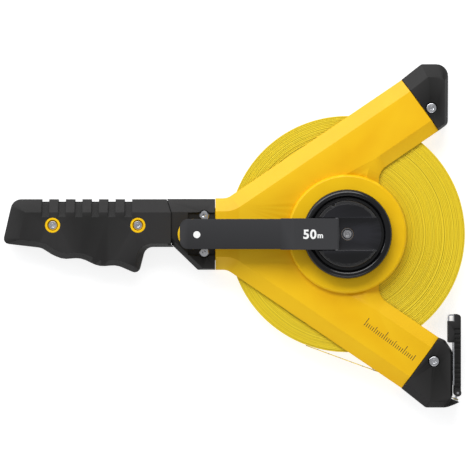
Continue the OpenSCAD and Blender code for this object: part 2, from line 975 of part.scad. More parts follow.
// Pointed lip below the mouth
lip_outline = [[82, -145.6], [85, -145.3], [90.5, -143.3], [94.5, -141.3], [94.3, -140.9], [86, -137.8]];
lip_inset = 3;

// Runs its children in the frame of the tape's way out: X along the tape, Y across it
module along_tape() {
    translate([mouth[0], mouth[1], 0])
        rotate([0, 0, tape_angle])
            children();
}

cap_well = head_h + 0.1;

// Way into a cap for the frame's tongue
module tab_way(side) {
    at_arm_end(side)
        block(-tab_back - 5, tab_l - tab_back + 1, -tab_w / 2 - 0.4, tab_w / 2 + 0.4,
            tab_z - part_gap, tab_z + tab_t + 0.2);
}

// Half of an arm end cap, with its screw boss and the way in for the frame's tongue
module cap_half(side, outline, screw) {
    difference() {
        union() {
            bevelled_shell(outline, mid_z, lip_z, flat_z);
            pillar(screw, boss_r, mid_z, flat_z - 1);
        }
        pillar(screw, screw_r, below, above);
        pillar(screw, head_r + 0.4, flat_z - cap_well, above);
        tab_way(side);
    }
}

slot_x0 = -80;
slot_x1 = 20;
slot_y0 = -1.3;
slot_y1 = 2;
slot_end = 1.2;

module mouth_cap_half() {
    difference() {
        union() {
            cap_half(-1, lower_cap_outline, lower_screw);
            translate([0, 0, mid_z])
                linear_extrude(flat_z - lip_inset - mid_z)
                    polygon(lip_outline);
        }
        along_tape()
            block(slot_x0, slot_x1, slot_y0, slot_y1, below, coil_z + tape_w + 0.7);
        // The slot is open over the full width just at the mouth
        along_tape()
            block(-slot_end, slot_x1, slot_y0 + part_gap, slot_y1, below, above);
    }
}

module end_cap_front() {
    color(black)
    cap_half(1, upper_cap_outline, upper_screw);
}

module end_cap_rear() {
    color(black)
    at_back()
        cap_half(1, upper_cap_outline, upper_screw);
}

module mouth_cap_front() {
    color(black)
    mouth_cap_half();
}

module mouth_cap_rear() {
    color(black)
    at_back()
        mouth_cap_half();
}

module cap_screws() {
    color(steel)
    for (p = [upper_screw, lower_screw])
        round_screw(p, head_r, flat_z - cap_well, frame_t - 2 * cap_well + 0.6);
}

module cap_nuts() {
    color(steel)
    for (p = [upper_screw, lower_screw])
        six_sided_nut(p, back_flat_z + 0.1, cap_well - 0.1);
}

guide_r = 1.6;
guide_gap = 1.6;
guide_end = 3;

// Two pins that steer the tape out of the mouth
module guide_pins() {
    color(steel)
    along_tape() {
        pillar([-12, guide_r + guide_gap], guide_r, back_flat_z + guide_end, flat_z - guide_end);
        pillar([-20, -guide_r - guide_gap], guide_r, back_flat_z + guide_end, flat_z - guide_end);
    }
}

// ---- Tape leaving the reel

lead_start = -130.9;
lead_y = -0.3 - tape_t;

module tape_lead() {
    color(tape_yellow)
    along_tape()
        block(lead_start, -5, lead_y, lead_y + tape_t, coil_z, coil_z + tape_w);
}

tongue_y = 0.1;
tongue_x = 4.4;
tongue_tail = 12;

module tape_tongue() {
    color(tape_yellow)
    along_tape()
        block(-tape_pull - tongue_tail, tongue_x, tongue_y, tongue_y + tape_t, coil_z, coil_z + tape_w);
}

// ---- End bow

bow_hinge = [93.2, -133.6];
bow_pin_r = 1;
knuckle_r = 3;
eye_r = 2.4;
bow_half = 12;
inner_half = 7.2;
bow_top = -67.5;
bow_x0 = 89.4;
bow_x1 = 95.8;
window_y0 = -124;
window_y1 = -78;
spine_t = 0.8;
spine_end = 3;
nose_x0 = 84.9;
nose_r = 2.4;
nose_t = 1.2;
nose_end_y = -73;
clamp_x = 1.2;
clamp_t = 0.5;

// Steel clamp on the tape end, with a knuckle between the ears of the bow
module tape_end_fitting() {
    z0 = mid_z - inner_half + 0.3;
    z1 = mid_z + inner_half - 0.3;
    color(steel)
    difference() {
        union() {
            pillar(bow_hinge, eye_r, z0, z1);
            along_tape() {
                difference() {
                    block(clamp_x, tongue_x + clamp_t, tongue_y - clamp_t - seat_gap,
                        tongue_y + tape_t + clamp_t, z0, z1);
                    block(clamp_x - 1, tongue_x, tongue_y, tongue_y + tape_t, z0 - 1, z1 + 1);
                }
                block(clamp_x + 0.4, clamp_x + eye_r - 0.2, tongue_y + tape_t, tongue_x, z0, z1);
            }
        }
        pillar(bow_hinge, bow_pin_r, z0 - 1, z1 + 1);
    }
}

module bow_pin() {
    color(steel)
    pillar(bow_hinge, bow_pin_r, mid_z - bow_half + 0.6, mid_z + bow_half - 0.6);
}

// Steel strip inside the grip, bent over at the top into a hooking nose
module bow_hook() {
    z0 = mid_z - bow_half + 1;
    z1 = mid_z + bow_half - 1;
    rail = 4.2;
    color(steel)
    union() {
        difference() {
            block(bow_x0, bow_x0 + spine_t, window_y0 - spine_end, bow_top - 1, z0, z1);
            block(bow_x0 - 1, bow_x0 + 2, window_y0, window_y1, z0 + rail, z1 - rail);
        }
        difference() {
            union() {
                block(nose_x0 + nose_r, bow_x0 + spine_t, nose_end_y, bow_top, z0, z1);
                pillar([nose_x0 + nose_r, bow_top - nose_r], nose_r, z0, z1);
                block(nose_x0, nose_x0 + nose_r + 0.1, nose_end_y, bow_top - nose_r, z0, z1);
            }
            block(nose_x0 + nose_t, bow_x0, nose_end_y - 1, bow_top - nose_t, below, above);
        }
    }
}

rib_pitch = 4;
rib_w = 1.8;
rib_d = 0.5;
rib_groups = [[-80, -96], [-109, -129]];
cheek_t = 3.6;
cheek_y0 = -91.2;
cheek_y1 = -73.4;

module bow_grip() {
    z0 = mid_z - bow_half;
    z1 = mid_z + bow_half;
    body_x0 = bow_x0 + spine_t;
    corner = 2.8;
    rail = 5.2;
    color(black)
    difference() {
        union() {
            translate([0, 0, z0])
                linear_extrude(2 * bow_half)
                    union() {
                        translate([body_x0, bow_hinge[1]])
                            square([bow_x1 - body_x0, bow_top - corner - bow_hinge[1]]);
                        translate([body_x0, bow_top - corner - 0.1])
                            square([bow_x1 - body_x0 - corner, corner + 0.1]);
                        translate([bow_x1 - corner, bow_top - corner])
                            circle(r = corner);
                        translate([bow_hinge[0], bow_hinge[1]])
                            circle(r = knuckle_r);
                    }
            // Side cheeks that reach round the strip towards the mouth
            for (z = [z0, z1 - cheek_t])
                block(nose_x0 + 0.4, body_x0 + 1, cheek_y0, cheek_y1, z, z + cheek_t);
        }
        // Room for the clamp's knuckle and for the fingers
        block(nose_x0, 100, -150, bow_hinge[1] + 4, mid_z - inner_half, mid_z + inner_half);
        block(nose_x0, 100, window_y0, window_y1, z0 + rail, z1 - rail);
        pillar(bow_hinge, bow_pin_r + run_gap, below, above);
        // Shallow ribs on both faces, in two groups
        for (group = rib_groups, y = [group[0]:-rib_pitch:group[1]], z = [z0 - 1, z1 - rib_d])
            block(bow_x0 + 1, 100, y - rib_w / 2, y + rib_w / 2, z, z + 1 + rib_d);
        // Slot that the steel strip sits in
        block(bow_x0 - 0.1, body_x0, window_y0 - spine_end - 0.1, bow_top + 1, z0 + 0.9, z1 - 0.9);
    }
}

front_frame();
rear_frame();
gear_cover();
ring_gear();
rear_bearing_cover();
axle();
axle_washer();
axle_screw();
neck_cover_front();
neck_cover_rear();
neck_screws();
neck_nuts();
handle_core();
grip_front();
grip_rear();
handle_screws();
handle_nuts();
end_cap_front();
end_cap_rear();
mouth_cap_front();
mouth_cap_rear();
cap_screws();
cap_nuts();
guide_pins();
tape_lead();
reel_drum();
sun_gear();
reel_bushings();
tape_coil();
tape_clip();
planet_carrier();
crank_bushing();
crank_hub();
hub_screws();
fold_pin();
planet_gear_1();
planet_gear_2();
planet_gear_3();
crank_arm();
knob_stud();
knob_screw();
crank_knob();
tape_tongue();
tape_end_fitting();
bow_pin();
bow_hook();
bow_grip();
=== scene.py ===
# %% [markdown]
# # A surveyor's tape reel
#
# The object is an open measuring tape reel that lies on its back. A Y-shaped yellow frame in two
# halves holds a wound tape between them. A folding crank turns the tape through a small gear set, a
# black handle is bolted to the neck, and an end bow hangs at the tape's mouth. The mechanical model
# comes first and is fixed: every piece made here stands in its frame, in metres, and rides on one of
# its bodies. The cell loads that model.

import json
import math
import random

import bmesh
import bpy
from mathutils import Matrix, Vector


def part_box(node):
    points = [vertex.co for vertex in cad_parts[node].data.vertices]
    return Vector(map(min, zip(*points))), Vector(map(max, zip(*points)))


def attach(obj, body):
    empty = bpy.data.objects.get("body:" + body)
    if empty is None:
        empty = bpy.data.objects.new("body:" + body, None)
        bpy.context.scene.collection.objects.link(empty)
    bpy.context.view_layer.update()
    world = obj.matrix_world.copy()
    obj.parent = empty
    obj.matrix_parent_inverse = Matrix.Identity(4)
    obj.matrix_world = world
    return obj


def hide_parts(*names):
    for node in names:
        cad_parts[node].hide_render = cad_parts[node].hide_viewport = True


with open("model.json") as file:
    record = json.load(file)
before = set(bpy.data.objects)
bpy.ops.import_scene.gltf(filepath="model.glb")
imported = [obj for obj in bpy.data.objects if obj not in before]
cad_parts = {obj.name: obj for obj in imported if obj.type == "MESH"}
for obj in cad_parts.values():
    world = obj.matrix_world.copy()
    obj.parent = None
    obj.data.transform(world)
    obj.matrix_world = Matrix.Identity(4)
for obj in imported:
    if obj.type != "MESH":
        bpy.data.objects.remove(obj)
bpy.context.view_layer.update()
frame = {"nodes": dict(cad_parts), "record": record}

MM = 0.001
record = frame["record"]
BODY_OF = {node: body for body, group in record["behaviour"]["bodies"].items() for node in group}

# %% [markdown]
# ## Levels of the reel
#
# Positions come from the boxes of the fixed nodes, so the pieces follow the mechanical model when
# its sizes change. The front flat of the frame, the top of the crank arm and the faces of the wound
# tape are the levels that several pieces share.

# %% Read the shared levels


def low(node):
    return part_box(node)[0]


def high(node):
    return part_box(node)[1]


FLAT_Z = high("front_frame").z
ARM_TOP_Z = high("crank_arm").z
TAPE_BACK_Z = low("tape_coil").z
TAPE_FRONT_Z = high("tape_coil").z
COIL_R = high("tape_coil").x
CORE_R = high("reel_drum").x
print("flat and arm top", [round(z / MM, 2) for z in (FLAT_Z, ARM_TOP_Z)])
print("coil radius", round(COIL_R / MM, 2))

# %% [markdown]
# ## Camera, floor and lights
#
# The reel is seen from straight above, from so far away that its depth hardly shows. A long lens
# does that: the further the camera, the longer the lens for the same field. The floor is a plain
# pale sheet that gives off a little light of its own, as a light table does, which keeps shadows
# faint. One broad lamp above the upper edge brightens what faces it, a weaker one fills from below,
# and a strip lamp draws the highlights on the round rim of the crank.

# %% Place the camera
FIELD = 0.3948
FIELD_CENTRE = Vector((-0.0941, -0.0008, 0))
CAMERA_HEIGHT = 4.0
SENSOR = 36

lens = bpy.data.cameras.new("long_lens")
lens.sensor_width = SENSOR
lens.lens = SENSOR * (CAMERA_HEIGHT - FLAT_Z) / FIELD
lens.clip_end = 50
camera = bpy.data.objects.new("camera_above", lens)
camera.location = FIELD_CENTRE + Vector((0, 0, CAMERA_HEIGHT))
bpy.context.scene.collection.objects.link(camera)
bpy.context.scene.camera = camera
print("focal length", round(lens.lens, 1), "mm")

# %% Lay the floor
FLOOR_HALF = 4.0
FLOOR_DROP = 0.2 * MM
FLOOR_COLOUR = (0.45, 0.45, 0.45, 1)
FLOOR_GLOW = 0.75

floor_mesh = bpy.data.meshes.new("pale_floor")
floor_mesh.from_pydata(
    [(x * FLOOR_HALF, y * FLOOR_HALF, -FLOOR_DROP) for x, y in ((-1, -1), (1, -1), (1, 1), (-1, 1))],
    [],
    [(0, 1, 2, 3)],
)
floor = bpy.data.objects.new("pale_floor", floor_mesh)
bpy.context.scene.collection.objects.link(floor)
floor_paint = bpy.data.materials.new("floor_paint")
floor_paint.use_nodes = True
floor_shader = floor_paint.node_tree.nodes["Principled BSDF"]
floor_shader.inputs["Base Color"].default_value = FLOOR_COLOUR
floor_shader.inputs["Roughness"].default_value = 0.9
floor_shader.inputs["Specular IOR Level"].default_value = 0.1
floor_shader.inputs["Emission Color"].default_value = (1, 1, 1, 1)
floor_shader.inputs["Emission Strength"].default_value = FLOOR_GLOW
floor_mesh.materials.append(floor_paint)
print("floor side", 2 * FLOOR_HALF, "m")

# %% Hang the lamps
bpy.context.scene.view_settings.view_transform = "Standard"
bpy.context.scene.view_settings.look = "None"


def hang_lamp(name, place, aim, size, power, colour=(1, 1, 1)):
    """A soft rectangular lamp at place, turned towards aim."""
    light = bpy.data.lights.new(name, "AREA")
    light.shape = "RECTANGLE"
    light.size, light.size_y = size
    light.energy = power
    light.color = colour
    lamp = bpy.data.objects.new(name, light)
    lamp.location = place
    lamp.rotation_euler = (Vector(aim) - Vector(place)).to_track_quat("-Z", "Y").to_euler()
    bpy.context.scene.collection.objects.link(lamp)
    return lamp


hang_lamp("broad_lamp_above", (-0.25, 1.25, 1.35), (-0.05, 0, 0), (1.5, 0.9), 26)
hang_lamp("fill_lamp_below", (0.1, -1.5, 1.2), (-0.05, 0, 0), (1.4, 0.8), 6)
hang_lamp("strip_lamp_left", (-1.1, 0.75, 0.75), (0, 0, 0.03), (0.9, 0.25), 5, (0.93, 0.96, 1))
room = bpy.data.worlds.new("studio_room")
room.use_nodes = True
room.node_tree.nodes["Background"].inputs["Color"].default_value = (0.97, 0.98, 1, 1)
room.node_tree.nodes["Background"].inputs["Strength"].default_value = 0.42
bpy.context.scene.world = room

# %% [markdown]
# ## Helpers for finishes
#
# A finish is a small graph of nodes. Noise in the piece's own coordinates varies the colour and the
# gloss a little, and a finer noise gives the grain of the mould as a bump. Nothing here is painted
# from an image, so the grain has the same size on every piece. The plastics also get a lighter tone
# on their edges, a painted highlight where light would catch a rounded edge. The Geometry node's
# pointiness finds those edges.

# %% Node helpers


def tone(red, green, blue):
    """A colour given in screen values from 0 to 255, in the linear values that a shader takes."""
    shares = (red / 255, green / 255, blue / 255)
    return tuple(((c + 0.055) / 1.055) ** 2.4 if c > 0.0404 else c / 12.92 for c in shares) + (1,)


def new_finish(name):
    finish = bpy.data.materials.new(name)
    finish.use_nodes = True
    return finish, finish.node_tree.nodes["Principled BSDF"]


def add_node(finish, kind, inputs=(), **settings):
    """A node with its settings and inputs; an input is a plain value or another node's output."""
    node = finish.node_tree.nodes.new(kind)
    for key, value in settings.items():
        setattr(node, key, value)
    for key, value in inputs:
        if isinstance(value, bpy.types.NodeSocket):
            finish.node_tree.links.new(value, node.inputs[key])
        else:
            node.inputs[key].default_value = value
    return node


def own_place(finish):
    return add_node(finish, "ShaderNodeTexCoord").outputs["Object"]


def noise_value(finish, scale, detail=3.0, place=None):
    """A value from 0 to 1 that wanders with the place on the piece; scale is in turns a metre."""
    inputs = (("Vector", place or own_place(finish)), ("Scale", scale), ("Detail", detail))
    return add_node(finish, "ShaderNodeTexNoise", inputs).outputs[0]


def ramp_colour(finish, value, stops):
    """The colour at a value between stops of (position, colour)."""
    node = add_node(finish, "ShaderNodeValToRGB", (("Fac", value),))
    ramp = node.color_ramp
    while len(ramp.elements) < len(stops):
        ramp.elements.new(0.5)
    for element, (position, colour) in zip(ramp.elements, stops):
        element.position = position
        element.color = colour
    return node.outputs["Color"]


def mapped(finish, value, from_low, from_high, to_low, to_high):
    inputs = ((0, value), (1, from_low), (2, from_high), (3, to_low), (4, to_high))
    return add_node(finish, "ShaderNodeMapRange", inputs).outputs[0]


def mixed_colour(finish, share, first, second):
    inputs = ((0, share), (6, first), (7, second))
    return add_node(finish, "ShaderNodeMix", inputs, data_type="RGBA").outputs[2]


def sum_up(finish, operation, first, second):
    return add_node(finish, "ShaderNodeMath", ((0, first), (1, second)), operation=operation).outputs[0]


def feed(finish, shader, socket, value):
    finish.node_tree.links.new(value, shader.inputs[socket])


def bump(finish, shader, height, depth, strength=1.0, edge_radius=0.0):
    """Feeds a bump of that depth in metres into the shader, over edges shaded as if rounded."""
    inputs = [("Height", height), ("Distance", depth), ("Strength", strength)]
    if edge_radius:
        bent = add_node(finish, "ShaderNodeBevel", (("Radius", edge_radius),), samples=8)
        inputs.append(("Normal", bent.outputs[0]))
    feed(finish, shader, "Normal", add_node(finish, "ShaderNodeBump", inputs).outputs[0])


def edge_share(finish, start=0.53, end=0.60):
    """0 on flats and 1 on sharp outer edges."""
    return mapped(finish, add_node(finish, "ShaderNodeNewGeometry").outputs["Pointiness"], start, end, 0, 1)


print("node helpers ready")

# %% [markdown]
# ## Moulded plastics
#
# The frame is a satin coloured plastic, dyed through, so its colour hardly changes. The black parts
# are the same kind of plastic with a fine spark-eroded grain. The crank hub is polished in the mould
# and shines. One function makes all of them from a light and a dark tone, a painted edge highlight,
# a roughness and a grain. A Bevel node bends the shading near sharp edges, which then catch the light
# like rounded ones.

# %% Plastic finishes
EDGE_RADIUS = 0.6 * MM


def moulded(name, dark, light, edge, roughness, grain_scale, grain_depth, specular=0.5, coat=0.0):
    """Moulded plastic: two close tones in soft clouds, a painted edge highlight and the grain of the mould.
    """
    finish, shader = new_finish(name)
    clouds = noise_value(finish, 38, 2)
    grain = noise_value(finish, grain_scale, 4)
    body = ramp_colour(finish, clouds, ((0.32, tone(*dark)), (0.68, tone(*light))))
    # The edge tone is a painted highlight, mixed in where pointiness finds a sharp edge.
    painted_highlight_share = sum_up(finish, "MULTIPLY", edge_share(finish), 0.55)
    feed(finish, shader, "Base Color", mixed_colour(finish, painted_highlight_share, body, tone(*edge)))
    speckle = mapped(finish, grain, 0.3, 0.7, roughness - 0.04, roughness + 0.06)
    feed(finish, shader, "Roughness", speckle)
    bump(finish, shader, grain, grain_depth, 0.6, EDGE_RADIUS)
    shader.inputs["Specular IOR Level"].default_value = specular
    shader.inputs["Coat Weight"].default_value = coat
    shader.inputs["Coat Roughness"].default_value = 0.12
    return finish


# The third tone of each plastic is its painted edge highlight.
yellow_plastic = moulded(
    "yellow_plastic", (231, 175, 8), (236, 183, 12), (246, 204, 34), 0.36, 2600, 0.03 * MM, 0.2)
# cover_yellow is the frame's yellow a little lighter; on the raised gear cover the lighter tone paints the
# brighter light on the disc's face.
cover_yellow = moulded(
    "cover_yellow", (236, 186, 8), (242, 194, 12), (250, 212, 40), 0.36, 2600, 0.03 * MM, 0.2)
black_plastic = moulded(
    "black_plastic", (23, 22, 22), (27, 27, 26), (56, 55, 55), 0.48, 3400, 0.06 * MM, 0.16)
arm_plastic = moulded(
    "arm_plastic", (22, 22, 23), (26, 26, 27), (74, 74, 76), 0.46, 3000, 0.05 * MM, 0.14)
hub_plastic = moulded(
    "hub_plastic", (10, 10, 12), (14, 14, 16), (44, 44, 50), 0.2, 1500, 0.006 * MM, 0.25, 0.3)
gear_nylon = moulded(
    "gear_nylon", (214, 208, 190), (224, 219, 204), (236, 232, 222), 0.42, 1800, 0.03 * MM, 0.4)
print("plastics", [m.name for m in bpy.data.materials if "plastic" in m.name or "nylon" in m.name])

# %% [markdown]
# ## Metals
#
# The screws and the clamp are steel with a bright zinc plating. Plating is never quite even: broad
# soft stains change its gloss, and fine pits break up the reflection. The bushes are sintered bronze,
# a duller metal with larger pores. The graph is the same and only the numbers differ.

# %% Metal finishes


def plated(name, dark, light, roughness, pit_scale, pit_depth):
    finish, shader = new_finish(name)
    stains = noise_value(finish, 240, 3)
    pits = noise_value(finish, pit_scale, 5)
    feed(finish, shader, "Base Color", ramp_colour(finish, stains, ((0.3, tone(*dark)), (0.7, tone(*light)))))
    feed(finish, shader, "Roughness", mapped(finish, stains, 0.3, 0.7, roughness - 0.06, roughness + 0.08))
    bump(finish, shader, pits, pit_depth, 0.5)
    shader.inputs["Metallic"].default_value = 1
    return finish


zinc_steel = plated("zinc_steel", (168, 168, 170), (196, 196, 198), 0.28, 3000, 0.01 * MM)
bright_steel = plated("bright_steel", (196, 197, 200), (222, 223, 226), 0.2, 3000, 0.008 * MM)
bronze = plated("bronze", (150, 112, 60), (180, 138, 80), 0.42, 2200, 0.02 * MM)
print("metals", zinc_steel.name, bright_steel.name, bronze.name)

# %% [markdown]
# ## The tape's edge and face
#
# The wound tape shows its edges: some hundred turns of coated glass fibre, half a millimetre each.
# The colour follows the distance from the axis: each turn is one tone all the way round, darker where
# the turn lies lower. That darkening is painted shade in the hollows between the turns. So the graph
# works out the radius from the piece's own coordinates and feeds it to a noise in one dimension.
# Slow noise round the circle then breaks the rings up a little, as on a real winding.

# %% Tape finishes
TURN = 0.5 * MM


def wound_tape():
    finish, shader = new_finish("wound_tape")
    place = own_place(finish)
    flat_place = add_node(
        finish, "ShaderNodeVectorMath", ((0, place), (1, (1, 1, 0))), operation="MULTIPLY").outputs[0]
    radius = add_node(finish, "ShaderNodeVectorMath", ((0, flat_place),), operation="LENGTH").outputs["Value"]
    drift = noise_value(finish, 26, 2, place)
    shifted = sum_up(finish, "ADD", radius, mapped(finish, drift, 0, 1, -0.9 * MM, 0.9 * MM))
    turns = add_node(
        finish, "ShaderNodeTexNoise",
        (("W", shifted), ("Scale", 0.55 / TURN), ("Detail", 5.0), ("Roughness", 0.75)),
        noise_dimensions="1D").outputs[0]
    # The darker stops paint the shade on the lower turns; the same noise sinks those turns in the bump.
    tones = (
        (0.30, tone(158, 132, 12)), (0.42, tone(213, 185, 24)), (0.55, tone(233, 206, 34)),
        (0.72, tone(243, 219, 56)))
    feed(finish, shader, "Base Color", ramp_colour(finish, turns, tones))
    fibre = noise_value(finish, 1800, 3, place)
    height = sum_up(finish, "ADD", turns, sum_up(finish, "MULTIPLY", fibre, 0.35))
    bump(finish, shader, height, 0.22 * MM, 0.8)
    feed(finish, shader, "Roughness", mapped(finish, turns, 0.3, 0.7, 0.62, 0.46))
    shader.inputs["Specular IOR Level"].default_value = 0.35
    return finish


def printed_tape(angle):
    """The face of the tape: a dark stroke at each centimetre, from one edge, and a fine weave."""
    finish, shader = new_finish("printed_tape")
    turned = add_node(
        finish, "ShaderNodeVectorRotate",
        (("Vector", own_place(finish)), ("Axis", (0, 0, 1)), ("Angle", -angle)),
        rotation_type="AXIS_ANGLE").outputs[0]
    parts = add_node(finish, "ShaderNodeSeparateXYZ", ((0, turned),))
    step = sum_up(finish, "FRACT", sum_up(finish, "MULTIPLY", parts.outputs[0], 100), 0)
    stroke = sum_up(finish, "LESS_THAN", step, 0.07)
    edge = sum_up(finish, "GREATER_THAN", parts.outputs[2], TAPE_FRONT_Z - 4.5 * MM)
    cloth = ramp_colour(
        finish, noise_value(finish, 300, 3), ((0.3, tone(228, 196, 24)), (0.7, tone(240, 210, 44))))
    ink = sum_up(finish, "MULTIPLY", stroke, edge)
    feed(finish, shader, "Base Color", mixed_colour(finish, ink, cloth, tone(20, 20, 20)))
    weave = noise_value(finish, 4200, 2)
    feed(finish, shader, "Roughness", mapped(finish, weave, 0.3, 0.7, 0.4, 0.55))
    bump(finish, shader, weave, 0.03 * MM, 0.5)
    return finish


TAPE_ANGLE = math.radians(-20)
tape_edges = wound_tape()
tape_face = printed_tape(TAPE_ANGLE)
print("turns between drum and rim", round((COIL_R - CORE_R) / TURN))

# %% [markdown]
# ## Printing inks
#
# The white and black marks are pad printing: a thin, slightly uneven film of ink that is more matt
# than the plastic below it.

# %% Ink finishes


def printing_ink(name, dark, light):
    finish, shader = new_finish(name)
    feed(finish, shader, "Base Color", ramp_colour(
        finish, noise_value(finish, 900, 3), ((0.3, tone(*dark)), (0.7, tone(*light)))))
    feed(finish, shader, "Roughness", mapped(finish, noise_value(finish, 3000, 2), 0.3, 0.7, 0.5, 0.66))
    return finish


white_ink = printing_ink("white_ink", (232, 232, 230), (246, 246, 245))
black_ink = printing_ink("black_ink", (12, 12, 12), (22, 22, 22))
print("inks", white_ink.name, black_ink.name)

# %% [markdown]
# ## Helpers for pieces
#
# A moulded or turned part never has a knife edge: the tool leaves a small radius. The mechanical
# model has plain edges, because its job is to work. So each visible part gets a copy here. Screws,
# nuts and turned parts have their sharp edges rounded by a bevel. Before that, the copy's triangles
# are joined into flat faces, so that only true edges are left. Where two edges lie close together,
# the radius has to shrink, or the two bevels would run into each other. So each edge gets its own
# share of the radius, from the length of the edges that cross it.
#
# The large mouldings have many short edges along their curves, where a bevel of a useful radius has
# no room. They keep their plain shape, and their finish shades the edges as if they were rounded.

# %% Piece helpers
JOIN_WITHIN = 0.01 * MM
SHORTEST_EDGE = 0.02 * MM
FLAT_WITHIN = math.radians(0.03)
ROUNDED_SMOOTH = 34
CRISP_SMOOTH = 18


def link_piece(piece, body, finish, nodes=()):
    """Puts a piece in the scene with its finish, riding on a body and standing for some nodes."""
    if piece.name not in bpy.context.scene.collection.objects:
        bpy.context.scene.collection.objects.link(piece)
    piece.data.materials.clear()
    piece.data.materials.append(finish)
    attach(piece, body)
    if nodes:
        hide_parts(*nodes)
    return piece


def smooth(piece, angle):
    """Smooth shading that breaks at edges sharper than the angle, with large faces kept flat."""
    piece.data.shade_smooth()
    piece.data.set_sharp_from_angle(angle=math.radians(angle))
    even = piece.modifiers.new("even_shading", "WEIGHTED_NORMAL")
    even.keep_sharp = True


def apply_modifiers(piece):
    bpy.context.view_layer.update()
    depsgraph = bpy.context.evaluated_depsgraph_get()
    mesh = bpy.data.meshes.new_from_object(piece.evaluated_get(depsgraph))
    piece.modifiers.clear()
    piece.data = mesh
    mesh.name = piece.name


def radius_share(edge, radius):
    """How much of the radius fits at an edge: under half of the shortest edge that crosses it.
    Along a round stretch, the rounding also stays smaller than the stretch's own radius."""
    along = (edge.verts[1].co - edge.verts[0].co).normalized()
    room_left = radius
    for vertex in edge.verts:
        for other in vertex.link_edges:
            if other is edge:
                continue
            direction = (other.other_vert(vertex).co - vertex.co).normalized()
            away = (vertex.co - edge.other_vert(vertex).co).normalized()
            turn = away.angle(direction, 0)
            if abs(direction.dot(along)) < 0.8:
                room_left = min(room_left, 0.42 * other.calc_length())
            elif math.radians(2) < turn < math.radians(60):
                shorter = min(edge.calc_length(), other.calc_length())
                room_left = min(room_left, 0.42 * shorter / math.tan(turn / 2))
    return room_left / radius


def round_edges(piece, radius, segments, sharp):
    """Rounds the edges of a piece that are sharper than an angle."""
    bm = bmesh.new()
    bm.from_mesh(piece.data)
    bmesh.ops.dissolve_limit(bm, angle_limit=FLAT_WITHIN, verts=bm.verts, edges=bm.edges)
    bmesh.ops.dissolve_degenerate(bm, dist=SHORTEST_EDGE, edges=bm.edges)
    weights = bm.edges.layers.float.new("bevel_weight_edge")
    rounded = 0
    for edge in bm.edges:
        if edge.is_manifold and edge.calc_face_angle() > sharp:
            edge[weights] = radius_share(edge, radius)
            rounded += 1
    bm.to_mesh(piece.data)
    bm.free()
    bevel = piece.modifiers.new("rounding", "BEVEL")
    bevel.width = radius
    bevel.segments = segments
    bevel.limit_method = "WEIGHT"
    bevel.use_clamp_overlap = False
    bevel.miter_outer = "MITER_ARC"
    apply_modifiers(piece)
    return rounded


def copied(name, node):
    """A copy of a node's shape with its corners joined."""
    bm = bmesh.new()
    bm.from_mesh(frame["nodes"][node].data)
    bmesh.ops.remove_doubles(bm, verts=bm.verts, dist=JOIN_WITHIN)
    mesh = bpy.data.meshes.new(name)
    bm.to_mesh(mesh)
    bm.free()
    piece = bpy.data.objects.new(name, mesh)
    bpy.context.scene.collection.objects.link(piece)
    return piece


def softened(name, node, radius, finish, segments=2, sharp=28):
    """A copy of a node with rounded edges that stands for it; radius in mm, sharp in degrees."""
    piece = copied(name, node)
    rounded = round_edges(piece, radius * MM, segments, math.radians(sharp))
    smooth(piece, ROUNDED_SMOOTH)
    link_piece(piece, BODY_OF[node], finish, (node,))
    print(name, "edges rounded", rounded, "faces", len(piece.data.polygons))


def crisp_copy(name, node, finish):
    """A copy of a node that stands for it, with crisp creases between its flat faces."""
    piece = copied(name, node)
    smooth(piece, CRISP_SMOOTH)
    link_piece(piece, BODY_OF[node], finish, (node,))
    print(name, "faces", len(piece.data.polygons))


def mesh_piece(name, points, faces):
    mesh = bpy.data.meshes.new(name)
    mesh.from_pydata(points, [], faces)
    mesh.update()
    return bpy.data.objects.new(name, mesh)


def paint_nodes(finish, *nodes):
    """Gives fixed nodes their finish; their shape stays as it is."""
    for node in nodes:
        materials = frame["nodes"][node].data.materials
        materials.clear()
        materials.append(finish)


print("piece helpers ready")

# %% [markdown]
# ## The two frame halves
#
# Each half is one moulding: a Y of two arms and a neck, a flat face and wide bevels along its edges.
# The bevels stiffen the thin wall. They could be drawn here from an outline, but the mechanical
# model already has them at the right size, so the halves are copies of it.

# %% Frame halves
crisp_copy("frame_half_front", "front_frame", yellow_plastic)
crisp_copy("frame_half_rear", "rear_frame", yellow_plastic)

# %% [markdown]
# ## Covers of the gears and the rear bearing
#
# The raised disc on the front closes the gear set. The flat disc on the back covers the end of the
# axle, and the reel lies on it.

# %% Discs
softened("gear_cover_disc", "gear_cover", 0.5, cover_yellow, 3)
softened("rear_disc", "rear_bearing_cover", 0.3, yellow_plastic, 3)

# %% [markdown]
# ## The wound tape
#
# A real winding is never flat on its side. Single turns stand a little proud, others sink in, and
# the height of a turn changes slowly on its way round. So the coil is a grid of rings: each bundle
# of turns gets a valley, a shoulder and a flat top at its own height, and a slow wave moves the top
# as the ring goes round. The finish then draws the single turns inside each bundle.

# %% Wound tape
BUNDLE = 1.3 * MM
COIL_STEPS = 160
SINK_MOST = 0.55 * MM
VALLEY = 0.4 * MM
coil_random = random.Random(7)


def bundle_heights(count):
    """How far each bundle's top is sunk below the tape's edge, and the wave that it has."""
    rows = []
    for _ in range(count):
        sink = SINK_MOST * coil_random.random() ** 2
        wave = 0.16 * MM * coil_random.random()
        rows.append((sink, wave, coil_random.randint(1, 4), coil_random.uniform(0, math.tau)))
    return rows


